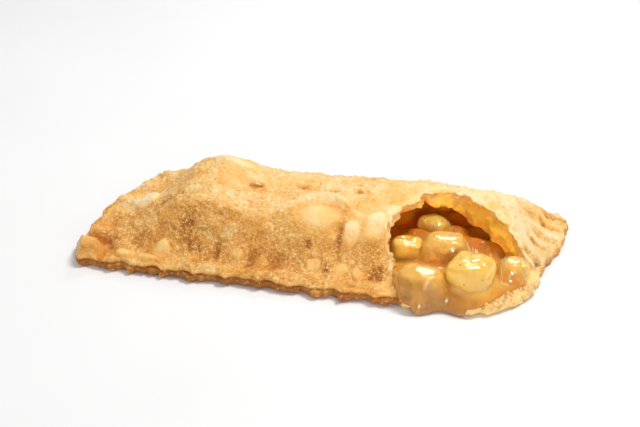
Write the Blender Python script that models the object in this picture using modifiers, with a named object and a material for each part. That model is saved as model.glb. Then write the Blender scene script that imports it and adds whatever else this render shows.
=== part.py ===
# A long turnover pastry with a bite out of its front right side.
# The crust is folded along its far side (+Y), sealed along the front and both ends, and blistered on top.
# The filling runs through it and shows at the bite, with fruit chunks in it.
# Sizes are in millimetres and MM turns them into metres. +X runs along the pastry, and it lies on z = 0.

import math
import bpy
import bmesh
import numpy as np
from mathutils import Euler, Matrix, Vector

MM = 0.001
WELD = 0.00002

# Plan of the crust: a rectangle with a radius of its own at each corner
LEFT_END = -73.3
RIGHT_END = 73.4
FRONT_EDGE = -30.3
FAR_EDGE = 34.2
CORNER_NEAR_LEFT = 7.0
CORNER_NEAR_RIGHT = 23.0
CORNER_FAR_LEFT = 17.0
CORNER_FAR_RIGHT = 5.0
LEFT_LEAN = 5.0
RIGHT_LEAN = 3.9
FRONT_SLANT = 0.045
FAR_SLANT = 0.032

# Pressed edges: the spacing and depth of crimps, dimples and scallops
LEFT_CRIMP_PITCH = 10.5
LEFT_CRIMP_DEPTH = 0.9
RIGHT_CRIMP_PITCH = 7.0
RIGHT_CRIMP_DEPTH = 0.8
SEAM_PITCH = 7.2
SEAM_DEPTH = 0.8
SEAM_PLACE = 9.5
SCALLOP_PITCHES = (9.3, 5.1)
SCALLOP_DEPTHS = (0.55, 0.35)
NUB_SIZE = 9.0
NUB_HEIGHT = 2.6
NUB_CREASE = 1.7

# Widths of the sealed rims, and of the slopes that rise from them
FRONT_RIM = 6.0
FRONT_SLOPE = 14.0
LEFT_RIM = 7.0
LEFT_SLOPE = 26.0
RIGHT_SLOPE = 16.0
PLATEAU_REACH = 38.0
SLOPE_SHARE = 0.84

# Heights of the crust
CREST_HEIGHT = 17.7
CREST_SWELLS = ((-35.0, 11.0, 3.6), (32.0, 30.0, 3.0))
RIM_HEIGHT = 4.9
RIM_EDGE = 1.7
FOLD_EDGE = 3.6
FOLD_WIDTH = 26.0
RIM_ROUND = 2.2
BASE_ROUND = 1.5

# The hollow inside it
TOP_WALL = 4.0
HOLLOW_FLOOR = 3.2
HOLLOW_LEFT = -59.0
HOLLOW_RIGHT = 59.0
HOLLOW_FRONT = -18.6
HOLLOW_FAR = 28.0
HOLLOW_EDGE = 4.4
HOLLOW_LOWEST = 5.6
HOLLOW_ROUND = 4.0

# The bite: its torn lip in plan, from the front rim round to the right end
BITE_FLOOR = 3.6
TORN_LIP = (
    (29.3, -33.0), (26.3, -22.6), (23.3, -14.1), (23.5, -7.6), (26.3, -2.1), (29.3, 1.4), (31.8, 6.4),
    (35.8, 9.9), (40.8, 10.1), (46.3, 8.4), (50.8, 5.8), (54.8, 3.4), (58.8, 1.5), (63.3, -0.6), (72.0, -2.6),
)
TORN_ROUGHNESS = 0.55
BITE_TALL = 30.0
NOTCH_LEFT = 30.6
NOTCH_RIGHT = 56.0
NOTCH_DEPTH = -22.5

# The filling, which sinks at the bite and spills over the front
FILLING_LEFT = -56.5
FILLING_INSET = 1.4
FILLING_FLOOR = 3.9
FILLING_GAP = 0.9
POOL_LEVEL = 8.6
POOL_FRONT_LEVEL = 4.4
POOL_RIGHT_DROP = 1.8
SPILL_FRONT = -28.0
SPILL_LEFT = 31.2
SPILL_RIGHT = 55.0
SPILL_LOBES = ((38.4, 3.4, 2.0), (49.0, 3.4, 0.9))
POOL_RIGHT = 66.4
AIR_CENTRE = (42.3, -7.6)
AIR_RADII = (25.0, 30.0)

# Fruit chunks: centre, size and turn about the vertical in degrees
CHUNK_ROOM = 0.8
CHUNKS = (
    ((29.0, -9.2, 9.4), (10.2, 8.6, 8.2), 12),
    ((34.4, 5.4, 9.4), (10.2, 8.0, 7.8), -20),
    ((40.4, -7.2, 10.0), (11.4, 8.6, 8.6), 8),
    ((50.6, -18.6, 9.8), (13.2, 12.2, 10.0), -14),
    ((62.3, -8.8, 7.6), (8.0, 7.0, 5.4), 24),
    ((36.6, -23.6, 7.9), (12.0, 8.4, 6.4), -6),
)

# Blisters on the crust: place, half sizes and height
BLISTERS = (
    ((-57.7, -2.1), (4.2, 3.8), 1.6),
    ((-44.7, -23.1), (2.4, 2.2), 1.0),
    ((2.3, -10.6), (12.5, 8.0), 1.5),
    ((19.3, -11.1), (5.0, 6.5), 1.6),
    ((-29.7, 9.4), (9.5, 4.5), 0.9),
    ((-41.0, 12.0), (11.0, 6.0), 0.6),
)


def smooth_step(low, high, value):
    share = np.clip((value - low) / (high - low), 0.0, 1.0)
    return share * share * (3.0 - 2.0 * share)


def round_rise(share):
    # A quarter ellipse, upright at 0 and level at 1
    return np.sqrt(1.0 - (1.0 - np.clip(share, 0.0, 1.0)) ** 2)


def bell(distance, width):
    return np.exp(-(distance / width) ** 2)


def waves(along, pitch):
    return np.cos(2.0 * np.pi * along / pitch)


# Outline

def corner_radius(a, b):
    near = np.where(a < 0.0, CORNER_NEAR_LEFT, CORNER_NEAR_RIGHT)
    far = np.where(a < 0.0, CORNER_FAR_LEFT, CORNER_FAR_RIGHT)
    return np.where(b < 0.0, near, far)


def edge_distance(a, b):
    # Distance inwards from the rounded rectangle
    middle = 0.5 * (LEFT_END + RIGHT_END), 0.5 * (FRONT_EDGE + FAR_EDGE)
    radius = corner_radius(a, b)
    qx = np.abs(a - middle[0]) - 0.5 * (RIGHT_END - LEFT_END) + radius
    qy = np.abs(b - middle[1]) - 0.5 * (FAR_EDGE - FRONT_EDGE) + radius
    outside = np.hypot(np.maximum(qx, 0.0), np.maximum(qy, 0.0))
    return radius - np.minimum(np.maximum(qx, qy), 0.0) - outside


def spread(value, share):
    # Rows gather towards both edges, by the given share
    return (1.0 - share) * value + share * math.sin(0.5 * math.pi * value)


def corner_inset(overrun, radius):
    overrun = min(max(overrun, 0.0), radius)
    return radius - math.sqrt(radius * radius - overrun * overrun)


def box_plan(left, right, front, far, radii):
    # Maps a square grid onto a rectangle whose four corners have their own radii
    near_left, near_right, far_left, far_right = radii

    def place(s, t):
        a = 0.5 * (left + right) + 0.5 * (right - left) * spread(s, 0.35)
        low = front + corner_inset(left + near_left - a, near_left)
        low = low + corner_inset(a - right + near_right, near_right)
        high = far - corner_inset(left + far_left - a, far_left)
        high = high - corner_inset(a - right + far_right, far_right)
        return a, 0.5 * (low + high) + 0.5 * (high - low) * spread(t, 0.45)

    return place


def slant(a, b):
    # Neither long side runs quite along X
    far_share = (b - FRONT_EDGE) / (FAR_EDGE - FRONT_EDGE)
    return (1.0 - far_share) * FRONT_SLANT * a + far_share * FAR_SLANT * (a - RIGHT_END)


def lean(a, b):
    # Moves the plain rectangle to the pastry's own, uneven outline
    front_share = 1.0 - smooth_step(FRONT_EDGE, FRONT_EDGE + 9.0, b)
    left_share = 1.0 - smooth_step(LEFT_END, LEFT_END + 30.0, a)
    right_share = smooth_step(RIGHT_END - 30.0, RIGHT_END, a)
    x = a + left_share * LEFT_LEAN * smooth_step(2.0, 20.0, b)
    x = x - right_share * RIGHT_LEAN * (1.0 - smooth_step(-4.0, 20.0, b))
    x = x + 0.6 * left_share * waves(b + 4.0, LEFT_CRIMP_PITCH)
    x = x + 0.35 * right_share * waves(b, RIGHT_CRIMP_PITCH)
    scallops = sum(depth * waves(a - 1.0, pitch) for pitch, depth in zip(SCALLOP_PITCHES, SCALLOP_DEPTHS))
    return x, b + front_share * scallops + slant(a, b)


# Heights

def crest(a):
    return CREST_HEIGHT + sum(height * bell(a - place, width) for place, width, height in CREST_SWELLS)


def pouch(a, b):
    # How far the crust is raised over the filling, from 0 on the sealed rim to 1 on the crest
    from_front = b - FRONT_EDGE
    slope = smooth_step(FRONT_RIM, FRONT_RIM + FRONT_SLOPE, from_front)
    plateau = smooth_step(FRONT_RIM + 10.0, PLATEAU_REACH, from_front)
    front = SLOPE_SHARE * slope + (1.0 - SLOPE_SHARE) * plateau
    left = smooth_step(LEFT_RIM, LEFT_RIM + LEFT_SLOPE, a - LEFT_END)
    right = smooth_step(0.0, RIGHT_SLOPE, RIGHT_END - a)
    inset = edge_distance(a, b)
    inland = inset + FOLD_WIDTH * (1.0 - smooth_step(0.0, 12.0, b))
    fall = 1.0 - np.clip(np.minimum(FAR_EDGE - b, inland) / FOLD_WIDTH, 0.0, 1.0)
    return front * left * right * (1.0 - fall ** 2.0) * np.clip(inset / RIM_ROUND, 0.0, 1.0)


def fold_share(a, b):
    along = smooth_step(4.0, 22.0, a - LEFT_END) * smooth_step(2.0, 16.0, RIGHT_END - a)
    return along * smooth_step(FAR_EDGE - 14.0, FAR_EDGE - 4.0, b)


def plain_top(a, b):
    # The crust's top without its relief
    fold = fold_share(a, b)
    edge = RIM_EDGE + (FOLD_EDGE - RIM_EDGE) * fold
    rim = RIM_HEIGHT + (FOLD_EDGE + 0.6 - RIM_HEIGHT) * fold
    height = edge + (rim - edge) * round_rise(edge_distance(a, b) / RIM_ROUND)
    return height + (crest(a) - rim) * pouch(a, b)


def crimps(a, b):
    # Grooves pressed into both sealed ends, and the dimples of the front seam
    left = LEFT_CRIMP_DEPTH * waves(b + 4.0, LEFT_CRIMP_PITCH) * (1.0 - smooth_step(6.0, 13.0, a - LEFT_END))
    right = RIGHT_CRIMP_DEPTH * waves(b, RIGHT_CRIMP_PITCH) * (1.0 - smooth_step(9.0, 15.0, RIGHT_END - a))
    seam = SEAM_DEPTH * waves(a, SEAM_PITCH) * bell(b - FRONT_EDGE - SEAM_PLACE, 3.0)
    seam = seam * smooth_step(LEFT_END + 14.0, LEFT_END + 20.0, a)
    return (left + right + seam) * smooth_step(0.0, 2.0, edge_distance(a, b))


def corner_nub(a, b):
    # The raised near left corner and the crease beside it
    inner = smooth_step(0.0, 2.5, edge_distance(a, b))
    along = a - LEFT_END
    across = b - FRONT_EDGE
    low = NUB_SIZE - 2.0
    high = NUB_SIZE + 1.5
    nub = (1.0 - smooth_step(low, high, along)) * (1.0 - smooth_step(low, high, across))
    crease = bell(along - NUB_SIZE - 2.5, 1.8) * (1.0 - smooth_step(low, NUB_SIZE + 4.0, across))
    crease = crease + bell(across - NUB_SIZE - 2.5, 1.6) * (1.0 - smooth_step(low, NUB_SIZE + 4.0, along))
    return inner * (NUB_HEIGHT * nub - NUB_CREASE * crease)


def blisters(x, y):
    total = 0.0
    for (cx, cy), (rx, ry), height in BLISTERS:
        reach = np.hypot((x - cx) / rx, (y - cy) / ry)
        total = total + height * (1.0 - smooth_step(0.25, 1.15, reach))
    return total


def crust_top(a, b):
    x, y = lean(a, b)
    return plain_top(a, b) + crimps(a, b) + corner_nub(a, b) + blisters(x, y)


def crust_base(a, b):
    edge = RIM_EDGE + (FOLD_EDGE - RIM_EDGE) * fold_share(a, b)
    return edge * (1.0 - round_rise(edge_distance(a, b) / BASE_ROUND))


# Bodies

def new_collection(name):
    collection = bpy.data.collections.new(name)
    bpy.context.scene.collection.children.link(collection)
    return collection


def object_from(body, name, collection):
    mesh = bpy.data.meshes.new(name)
    body.to_mesh(mesh)
    body.free()
    made = bpy.data.objects.new(name, mesh)
    collection.objects.link(made)
    return made


def pillow(name, columns, rows, place, top, base, collection):
    # Two grids over the same plan, welded where they meet along the outline
    body = bmesh.new()
    for sheet in (top, base):
        grid = bmesh.ops.create_grid(body, x_segments=columns, y_segments=rows, size=1.0)
        for vertex in grid["verts"]:
            vertex.co = Vector(sheet(*place(vertex.co.x, vertex.co.y))) * MM
    lower = {face for vertex in grid["verts"] for face in vertex.link_faces}
    bmesh.ops.reverse_faces(body, faces=list(lower))
    rim = [vertex for vertex in body.verts if vertex.is_boundary]
    bmesh.ops.remove_doubles(body, verts=rim, dist=WELD)
    flat = [edge for edge in body.edges if edge.is_manifold and edge.calc_face_angle() < 0.0005]
    bmesh.ops.dissolve_limit(body, angle_limit=0.0005, verts=body.verts, edges=flat)
    return object_from(body, name, collection)


def make_crust(collection):
    def top(a, b):
        return (*lean(a, b), crust_top(a, b))

    def base(a, b):
        return (*lean(a, b), crust_base(a, b))

    radii = CORNER_NEAR_LEFT, CORNER_NEAR_RIGHT, CORNER_FAR_LEFT, CORNER_FAR_RIGHT
    place = box_plan(LEFT_END, RIGHT_END, FRONT_EDGE, FAR_EDGE, radii)
    return pillow("crust", 72, 28, place, top, base, collection)


def hollow_share(a, b):
    # 0 on the hollow's outline, 1 where it has its full height
    along = np.minimum(a - HOLLOW_LEFT, HOLLOW_RIGHT - a)
    across = np.minimum(b - HOLLOW_FRONT, HOLLOW_FAR - b)
    return round_rise(np.minimum(along, across) / HOLLOW_ROUND)


def hollow_height(a, b):
    full = np.maximum(plain_top(a, b) - TOP_WALL, HOLLOW_LOWEST)
    return HOLLOW_EDGE + (full - HOLLOW_EDGE) * hollow_share(a, b)


def make_hollow(collection):
    def top(a, b):
        return a, b + slant(a, b), hollow_height(a, b)

    def base(a, b):
        return a, b + slant(a, b), HOLLOW_FLOOR + (HOLLOW_EDGE - HOLLOW_FLOOR) * (1.0 - hollow_share(a, b))

    place = box_plan(HOLLOW_LEFT, HOLLOW_RIGHT, HOLLOW_FRONT, HOLLOW_FAR, (0.0, 0.0, 0.0, 0.0))
    return pillow("hollow", 30, 13, place, top, base, collection)


def torn_outline():
    # The lip as a smooth curve through its points, roughened by short waves
    points = np.array(TORN_LIP)
    steps = np.hypot(*np.diff(points, axis=0).T)
    along = np.concatenate(([0.0], np.cumsum(steps)))
    fine = np.arange(0.0, along[-1], 1.6)
    x = np.interp(fine, along, points[:, 0])
    y = np.interp(fine, along, points[:, 1])
    wave = TORN_ROUGHNESS * (np.sin(fine * 1.9) + 0.7 * np.sin(fine * 3.1 + 1.0))
    heading = np.arctan2(np.gradient(y), np.gradient(x))
    x = x - wave * np.sin(heading)
    y = y + wave * np.cos(heading)
    beyond = RIGHT_END + 8.0
    before = FRONT_EDGE - 10.0
    return list(zip(x, y)) + [(beyond, TORN_LIP[-1][1]), (beyond, before), (TORN_LIP[0][0] + 1.0, before)]


def make_bite(collection):
    curve = bpy.data.curves.new("bite", "CURVE")
    curve.dimensions = "2D"
    curve.fill_mode = "BOTH"
    curve.extrude = 0.5 * BITE_TALL * MM
    spline = curve.splines.new("POLY")
    outline = torn_outline()
    spline.points.add(len(outline) - 1)
    for point, (x, y) in zip(spline.points, outline):
        point.co = (x * MM, y * MM, 0.0, 1.0)
    spline.use_cyclic_u = True
    drawn = bpy.data.objects.new("bite_outline", curve)
    drawn.location.z = (BITE_FLOOR + 0.5 * BITE_TALL) * MM
    collection.objects.link(drawn)
    bpy.context.view_layer.update()
    mesh = bpy.data.meshes.new_from_object(drawn.evaluated_get(bpy.context.evaluated_depsgraph_get()))
    body = bmesh.new()
    body.from_mesh(mesh)
    bmesh.ops.remove_doubles(body, verts=body.verts, dist=WELD)
    bmesh.ops.recalc_face_normals(body, faces=body.faces)
    bite = object_from(body, "bite", collection)
    bite.matrix_world = drawn.matrix_world
    bpy.data.objects.remove(drawn)
    return bite


def make_notch(collection):
    # The stretch of the rim that is bitten off under the spilled filling
    body = bmesh.new()
    low = Vector((NOTCH_LEFT, FRONT_EDGE - 12.0, -2.0)) * MM
    high = Vector((NOTCH_RIGHT, NOTCH_DEPTH, BITE_FLOOR + 4.0)) * MM
    shape = Matrix.Translation((low + high) / 2.0) @ Matrix.Diagonal((*(high - low), 1.0))
    bmesh.ops.create_cube(body, size=1.0, matrix=shape)
    return object_from(body, "spill_notch", collection)


# Filling

def air_share(x, y):
    # 1 where the filling has sunk away under and before the torn lip
    reach = np.hypot((x - AIR_CENTRE[0]) / AIR_RADII[0], (y - AIR_CENTRE[1]) / AIR_RADII[1])
    return 1.0 - smooth_step(0.86, 1.0, reach)


def spill_edge(x):
    edge = SPILL_FRONT
    for place, width, reach in SPILL_LOBES:
        edge = edge - reach * bell(x - place, width)
    return edge


def filling_front(x):
    inside = HOLLOW_FRONT + slant(x, HOLLOW_FRONT) + FILLING_INSET
    spilled = smooth_step(SPILL_LEFT - 5.0, SPILL_LEFT, x)
    spilled = spilled * (1.0 - smooth_step(SPILL_RIGHT, SPILL_RIGHT + 4.0, x))
    pool = smooth_step(SPILL_RIGHT + 2.0, POOL_RIGHT, x)
    return inside + (spill_edge(x) - inside) * spilled + 4.0 * pool


def filling_far(x):
    inside = HOLLOW_FAR + slant(x, HOLLOW_FAR) - FILLING_INSET
    return inside + (-4.4 - inside) * smooth_step(HOLLOW_RIGHT - 4.4, HOLLOW_RIGHT - 2.4, x)


def filling_place(s, t):
    x = float(np.interp(s, (-1.0, -0.3, 1.0), (FILLING_LEFT, 16.0, POOL_RIGHT)))
    low = filling_front(x)
    high = filling_far(x)
    return x, 0.5 * (low + high) + 0.5 * (high - low) * spread(t, 0.3)


def filling_side(x, y):
    # Distance inwards from the filling's own outline
    across = np.minimum(y - filling_front(x), filling_far(x) - y)
    return np.minimum(across, np.minimum(x - FILLING_LEFT, POOL_RIGHT - x))


def filling_middle(x, y):
    # Height of the outline itself: low where it has run down over the front
    return FILLING_FLOOR + 0.8 - 3.0 * spill_share(x, y)


def spill_share(x, y):
    ahead = 1.0 - smooth_step(NOTCH_DEPTH - 3.2, NOTCH_DEPTH - 2.0, y)
    after_left = smooth_step(NOTCH_LEFT + 1.8, NOTCH_LEFT + 3.0, x)
    before_right = 1.0 - smooth_step(NOTCH_RIGHT - 3.2, NOTCH_RIGHT - 2.0, x)
    return ahead * after_left * before_right


def filling_level(x, y):
    # Sauce surface at the bite: level behind, falling towards the front
    front = smooth_step(-29.5, -19.0, y)
    right = smooth_step(50.0, POOL_RIGHT, x)
    return POOL_FRONT_LEVEL + (POOL_LEVEL - POOL_FRONT_LEVEL) * front - POOL_RIGHT_DROP * right


def filling_top(x, y):
    # Under the crust it fills the hollow; at the bite it has its own level
    bitten = smooth_step(26.5, 29.5, x) * (1.0 - smooth_step(-4.0, -0.5, y))
    closed = hollow_height(x, y - slant(x, y)) - FILLING_GAP + 20.0 * bitten
    sunk = np.maximum(air_share(x, y), smooth_step(50.0, 58.0, x))
    height = np.minimum(closed, closed + (filling_level(x, y) - closed) * sunk)
    middle = filling_middle(x, y)
    return x, y, middle + (height - middle) * round_rise(filling_side(x, y) / 4.5)


def filling_base(x, y):
    middle = filling_middle(x, y)
    floor = FILLING_FLOOR + (0.3 - FILLING_FLOOR) * spill_share(x, y)
    return x, y, middle + (floor - middle) * round_rise(filling_side(x, y) / 1.5)


def make_filling(collection):
    return pillow("filling", 46, 16, filling_place, filling_top, filling_base, collection)


# Fruit chunks

def make_chunk(name, chunk, seed, grow, collection):
    # A diced chunk with softened, uneven corners
    centre, size, turn = chunk
    draw = np.random.default_rng(seed)
    body = bmesh.new()
    bmesh.ops.create_cube(body, size=1.0)
    bmesh.ops.subdivide_edges(body, edges=body.edges, cuts=1, use_grid_fill=True)
    turned = Euler((0.0, 0.0, math.radians(turn))).to_matrix()
    for vertex in body.verts:
        rounded = vertex.co.lerp(vertex.co.normalized() * 0.5, 0.3)
        uneven = Vector(draw.uniform(-0.05, 0.05, 3))
        full = [length * 1.08 + grow for length in size]
        corner = Vector([value * length for value, length in zip(rounded + uneven, full)])
        vertex.co = (turned @ corner + Vector(centre)) * MM
    made = object_from(body, name, collection)
    rounding = made.modifiers.new("Rounding", "SUBSURF")
    rounding.levels = 1
    rounding.render_levels = 1
    return made


# Materials

def material(name, colour, roughness):
    made = bpy.data.materials.new(name)
    made.use_nodes = True
    surface = made.node_tree.nodes["Principled BSDF"]
    surface.inputs["Base Color"].default_value = (*colour, 1.0)
    surface.inputs["Roughness"].default_value = roughness
    surface.inputs["Metallic"].default_value = 0.0
    return made


def crust_material():
    return material("golden crust", (0.76, 0.47, 0.18), 0.6)


def filling_material():
    return material("golden sauce", (0.50, 0.20, 0.04), 0.15)


def fruit_material():
    return material("cooked fruit", (0.85, 0.60, 0.13), 0.25)


# Cuts and assembly

def cut(piece, cutter):
    step = piece.modifiers.new("Cut " + cutter.name, "BOOLEAN")
    step.operation = "DIFFERENCE"
    step.solver = "EXACT"
    step.object = cutter
    cutter.hide_render = True
    cutter.display_type = "WIRE"


def shade(piece, finish):
    piece.data.materials.append(finish)
    piece.data.shade_smooth()
    piece.data.set_sharp_from_angle(angle=math.radians(40.0))


def main():
    for old in list(bpy.data.objects):
        bpy.data.objects.remove(old)
    parts = new_collection("turnover_pastry")
    cutters = new_collection("cutters")
    crust = make_crust(parts)
    for cutter in (make_hollow(cutters), make_bite(cutters), make_notch(cutters)):
        cut(crust, cutter)
    shade(crust, crust_material())
    filling = make_filling(parts)
    fruit = fruit_material()
    for number, chunk in enumerate(CHUNKS, 1):
        shade(make_chunk(f"fruit_chunk_{number}", chunk, number, 0.0, parts), fruit)
        cut(filling, make_chunk(f"chunk_room_{number}", chunk, number, CHUNK_ROOM, cutters))
    shade(filling, filling_material())


main()
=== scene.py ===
# Dresses a turnover pastry: a blistered golden crust, torn open at its front right over sauce and fruit.
# Shapes are worked out in millimetres, and mm turns them into metres as they go into a mesh.
# +X runs along the pastry, -Y is its front, and it lies on z = 0.

import math
import bpy
import numpy as np
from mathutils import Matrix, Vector


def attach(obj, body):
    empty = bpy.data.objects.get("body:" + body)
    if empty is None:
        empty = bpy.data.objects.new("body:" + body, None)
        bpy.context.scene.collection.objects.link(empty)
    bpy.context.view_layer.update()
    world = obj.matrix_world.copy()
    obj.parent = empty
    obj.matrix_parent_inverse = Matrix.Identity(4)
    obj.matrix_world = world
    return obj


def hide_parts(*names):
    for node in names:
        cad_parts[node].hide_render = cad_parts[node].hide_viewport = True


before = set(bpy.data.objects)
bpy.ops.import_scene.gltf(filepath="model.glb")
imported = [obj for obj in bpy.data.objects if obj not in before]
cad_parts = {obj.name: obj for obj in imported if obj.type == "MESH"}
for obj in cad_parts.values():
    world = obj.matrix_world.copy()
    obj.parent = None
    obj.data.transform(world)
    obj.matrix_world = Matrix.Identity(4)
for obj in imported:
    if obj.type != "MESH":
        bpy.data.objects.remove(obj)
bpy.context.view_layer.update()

mm = 0.001

plan = {  # the crust's outline, a rectangle with four radii, and how it leans
    "left": -73.3, "right": 73.4, "front": -30.3, "far": 34.2,
    "nearLeft": 7.0, "nearRight": 23.0, "farLeft": 17.0, "farRight": 5.0,
    "leftLean": 5.0, "rightLean": 3.9, "frontSlant": 0.045, "farSlant": 0.032,
}

crust = {  # heights and pressed edges of the crust, and the fineness of its sheet
    "crest": 17.7, "swells": ((-35.0, 11.0, 3.6), (32.0, 30.0, 3.0)),
    "rimHeight": 4.9, "rimEdge": 1.7, "foldEdge": 3.6, "foldWidth": 26.0, "rimRound": 2.2,
    "frontRim": 6.0, "frontSlope": 14.0, "leftRim": 7.0, "leftSlope": 26.0, "rightSlope": 16.0,
    "plateauReach": 38.0, "slopeShare": 0.84,
    "leftCrimp": (10.5, 1.1), "rightCrimp": (7.0, 0.8), "seam": (7.2, 0.8, 9.5),
    "scallops": ((9.3, 0.55), (5.1, 0.35)), "nub": (9.0, 2.6, 2.3),
    "blisters": (
        (-57.4, -3.0, 5.4, 5.2, 0.8), (2.3, -10.6, 12.5, 8.0, 1.5), (19.6, -11.1, 5.4, 7.0, 1.7),
        (-29.7, 9.4, 9.5, 4.5, 0.9), (-41.0, 12.0, 11.0, 6.0, 0.6),
    ),
    "sheetPitch": 0.43, "rimRows": 16, "underRings": (0.25, 0.7, 1.3, 2.2, 5.0),
}

marks = {  # smaller marks on the crust: ovals (middle, half sizes and how high or deep) and lines
    "pads": (
        (-57.4, -2.6, 4.4, 4.2, 1.5), (-44.7, -24.6, 3.4, 2.6, 1.3), (3.2, -21.6, 2.6, 1.9, 1.2),
        (11.7, -21.6, 2.6, 1.8, 1.1), (17.0, -21.8, 2.2, 1.7, 0.9), (12.9, -14.4, 3.2, 3.0, 0.9),
        (-56.0, -28.6, 2.6, 2.0, 0.9), (-48.5, -28.8, 4.4, 2.0, 0.8), (-54.0, -25.6, 0.9, 0.8, 0.9),
        (-21.0, -22.5, 3.0, 1.6, 0.8), (-13.0, -23.0, 2.4, 1.6, 0.8), (-34.0, -26.0, 3.2, 1.8, 0.7),
        (-36.2, 8.8, 2.6, 1.6, 0.8), (-10.0, 9.5, 6.0, 2.2, 0.6), (60.0, -20.6, 2.4, 1.8, 0.5),
    ),
    "dents": (
        (-38.4, -18.3, 3.0, 2.4, 0.9), (-35.1, -22.0, 2.4, 1.6, 0.8), (-27.6, -22.6, 0.9, 2.4, 1.2),
        (9.6, -15.0, 1.2, 3.0, 1.2), (22.2, -20.5, 3.0, 2.2, 1.2), (0.6, -17.8, 0.7, 0.6, 1.0),
        (-5.8, -20.8, 0.7, 0.6, 1.0), (-22.9, 0.9, 1.9, 1.2, 0.9), (-20.6, 1.3, 0.5, 0.5, 1.0),
        (-7.4, 4.2, 3.0, 1.2, 0.6), (10.5, 3.7, 1.7, 1.0, 0.9), (2.7, 2.8, 1.5, 0.8, 0.7),
        (-31.0, -24.5, 1.6, 1.2, 0.8), (-16.8, -23.0, 0.9, 1.8, 0.9), (-9.0, -22.8, 1.0, 1.6, 0.8),
        (7.4, -22.0, 1.0, 1.8, 1.0), (-63.1, -20.6, 1.6, 4.0, 0.7), (-50.0, -9.5, 5.0, 1.4, 0.6),
        (31.5, -27.9, 1.3, 1.1, 1.6),
    ),
    "ridges": (
        (((-9.1, -5.4), (-4.1, -0.6), (2.2, 1.0), (9.1, -4.0), (14.5, -9.5)), 1.1, 0.9),
        (((52.0, 14.5), (59.0, 9.0), (64.0, 3.0), (66.5, -1.5)), 1.2, 0.7),
        (((44.0, 16.0), (50.0, 12.0), (55.0, 7.5), (59.0, 4.6)), 1.0, 0.5),
    ),
    "forks": (
        ((66.4, 27.2), (72.1, 28.8)), ((65.6, 20.5), (71.6, 21.8)), ((65.0, 14.0), (70.8, 14.4)),
        ((64.4, 7.4), (69.8, 8.7)), ((64.0, 1.1), (67.8, 0.4)), ((60.4, 17.6), (63.4, 19.2)),
    ),
    "forkDepth": 1.7, "forkWidth": 0.9,
}

hollow = {  # the space for the filling, and the wall over it at the left, middle and right of the bite
    "left": -59.0, "right": 59.0, "front": -18.6, "far": 28.0,
    "floor": 3.2, "edge": 4.4, "lowest": 5.6, "round": 4.0,
    "wall": (2.6, 4.8, 7.4), "skin": 2.3, "pitch": 0.75,
}

bite = {  # the torn lip in plan, and the roughness of the tear
    "floor": 3.6, "fan": (62.0, -60.0),
    "lip": (
        (34.8, -34.5), (33.8, -29.5), (30.4, -25.0), (26.8, -19.5), (24.0, -13.0), (23.4, -7.6),
        (26.0, -2.1), (29.0, 1.4), (31.5, 6.2), (35.8, 9.6), (40.8, 9.8), (45.6, 7.8), (49.6, 4.8),
        (53.4, 2.0), (57.2, -0.4), (61.5, -1.8), (69.5, -3.4), (82.0, -3.4),
    ),
    "notch": ((34.4, 51.4), -24.0),  # the rim is bitten through where the sauce runs out
    "bubble": (59.5, -23.2, 2.4, 1.9, 1.6),  # burst, in the rim
    "pitch": 0.4, "ragged": 0.8, "crumb": 0.5, "above": 26.0,
    "slope": (16.0, 34.0), "fold": (72.0, 80.0), "glazed": (33.0, 42.0),  # stretches along the lip
}


# Plain curves

def smoothStep(low, high, value):
    share = np.clip((value - low) / (high - low), 0.0, 1.0)
    return share * share * (3.0 - 2.0 * share)


def fallStep(low, high, value):
    return 1.0 - smoothStep(low, high, value)


def blend(low, high, share):
    return low + (high - low) * share


def roundRise(share):  # a quarter ellipse, upright at 0 and level at 1
    return np.sqrt(1.0 - (1.0 - np.clip(share, 0.0, 1.0)) ** 2)


def bell(distance, width):
    return np.exp(-(distance / width) ** 2)


def waves(along, pitch):
    return np.cos(2.0 * np.pi * along / pitch)


def ovalReach(x, y, middleX, middleY, halfX, halfY):  # 0 at an oval's middle and 1 on its outline
    return np.hypot((x - middleX) / halfX, (y - middleY) / halfY)


def softMax(one, other, width):  # the higher of two heights, with a fillet of this width between them
    share = np.clip(0.5 + 0.5 * (one - other) / width, 0.0, 1.0)
    return other + (one - other) * share + width * share * (1.0 - share)


# Roughness: all of it comes from hashed lattice points, so that it is the same each run

def latticeValue(ix, iy, iz, seed):  # multiplies and shifts whole numbers into a value from -1 to 1
    code = (ix * 374761393 + iy * 668265263 + iz * 1440662683 + seed * 1274126177) & 0xFFFFFFFF
    code = ((code ^ (code >> 13)) * 1103515245) & 0xFFFFFFFF
    code = ((code ^ (code >> 15)) * 374761393) & 0xFFFFFFFF
    return ((code ^ (code >> 16)) & 0xFFFFFF) / 0x7FFFFF - 1.0


def noise(x, y, z, pitch, seed):
    # Lattice values a pitch apart, blended between the eight nearest by a smooth curve
    whole = []
    part = []
    for place in (x, y, z):
        scaled = np.asarray(place, float) / pitch
        cell = np.floor(scaled)
        whole.append(cell.astype(np.int64))
        part.append((scaled - cell) ** 2 * (3.0 - 2.0 * (scaled - cell)))
    total = 0.0
    for corner in np.ndindex(2, 2, 2):
        weight = 1.0
        for side, share in zip(corner, part):
            weight = weight * (share if side else 1.0 - share)
        total = total + weight * latticeValue(*[cell + side for cell, side in zip(whole, corner)], seed)
    return total


def roughNoise(x, y, z, pitch, seed):  # three noises, each at half the pitch and strength of the last
    return sum(noise(x, y, z, pitch / 2 ** level, seed + level) / 2 ** level for level in range(3))


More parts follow.
